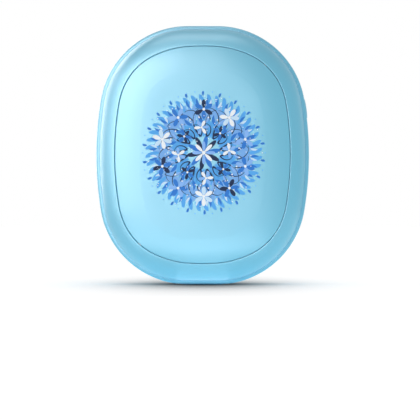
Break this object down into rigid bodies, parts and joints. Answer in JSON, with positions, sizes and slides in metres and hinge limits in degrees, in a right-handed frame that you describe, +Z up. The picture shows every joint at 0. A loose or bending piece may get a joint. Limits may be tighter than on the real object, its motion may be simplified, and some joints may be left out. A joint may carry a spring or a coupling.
{
  "type": "rechargeable hand warmer",
  "caption": "Flat rounded pocket hand warmer that heats on both faces, with a middle band, a side button, status lights, an output socket and a charging socket.",
  "frame": {"origin": "the middle of the small flat at the lower end of the case, level with the middle of its depth", "axes": "+Z up the case, -Y out of the front face, +X towards the side with the button and the sockets"},
  "size_m": [0.07, 0.027, 0.085],
  "materials": {
    "shell": "satin pale blue",
    "plate": "satin pale blue",
    "steel": "plain",
    "contacts": "bright",
    "cell": "matt foil",
    "foam": "matt foam",
    "film": "amber film",
    "tape": "matt",
    "board": "green board",
    "black_plastic": "matt",
    "white_plastic": "matt",
    "core": "matt",
    "wire": "plain",
    "clear_plastic": "frosted clear"
  },
  "bodies": {
    "case": {"front_bezel": "shell", "rear_bezel": "shell", "front_face_plate": "plate", "rear_face_plate": "plate", "front_plate_tape": "tape", "rear_plate_tape": "tape", "mid_frame": "shell", "case_screws": "steel", "front_heater_film": "film", "rear_heater_film": "film", "front_foam_pad": "foam", "rear_foam_pad": "foam", "temperature_sensors": "black_plastic", "battery_cell": "cell", "battery_tabs": "steel", "battery_protection_board": "board", "battery_leads": "wire", "main_board": "board", "board_screws": "steel", "output_socket_shell": "steel", "output_socket_tongue": "white_plastic", "output_socket_contacts": "contacts", "input_socket_shell": "steel", "input_socket_tongue": "black_plastic", "input_socket_contacts": "contacts", "control_chips": "black_plastic", "power_inductor": "core", "chip_capacitors": "core", "heater_plugs": "white_plastic", "front_heater_leads": "white_plastic", "rear_heater_leads": "white_plastic", "indicator_leds": "white_plastic", "indicator_light_guide": "clear_plastic", "switch_body": "black_plastic"},
    "power_button": {"button_cap": "shell", "switch_plunger": "white_plastic"}
  },
  "joints": [
    {"name": "power_button_press", "type": "slide", "parent": "case", "child": "power_button", "axis": [-1, 0, 0], "range_m": [0, 0.0003], "stiffness_N_per_m": 500, "springref_m": -0.0006}
  ]
}
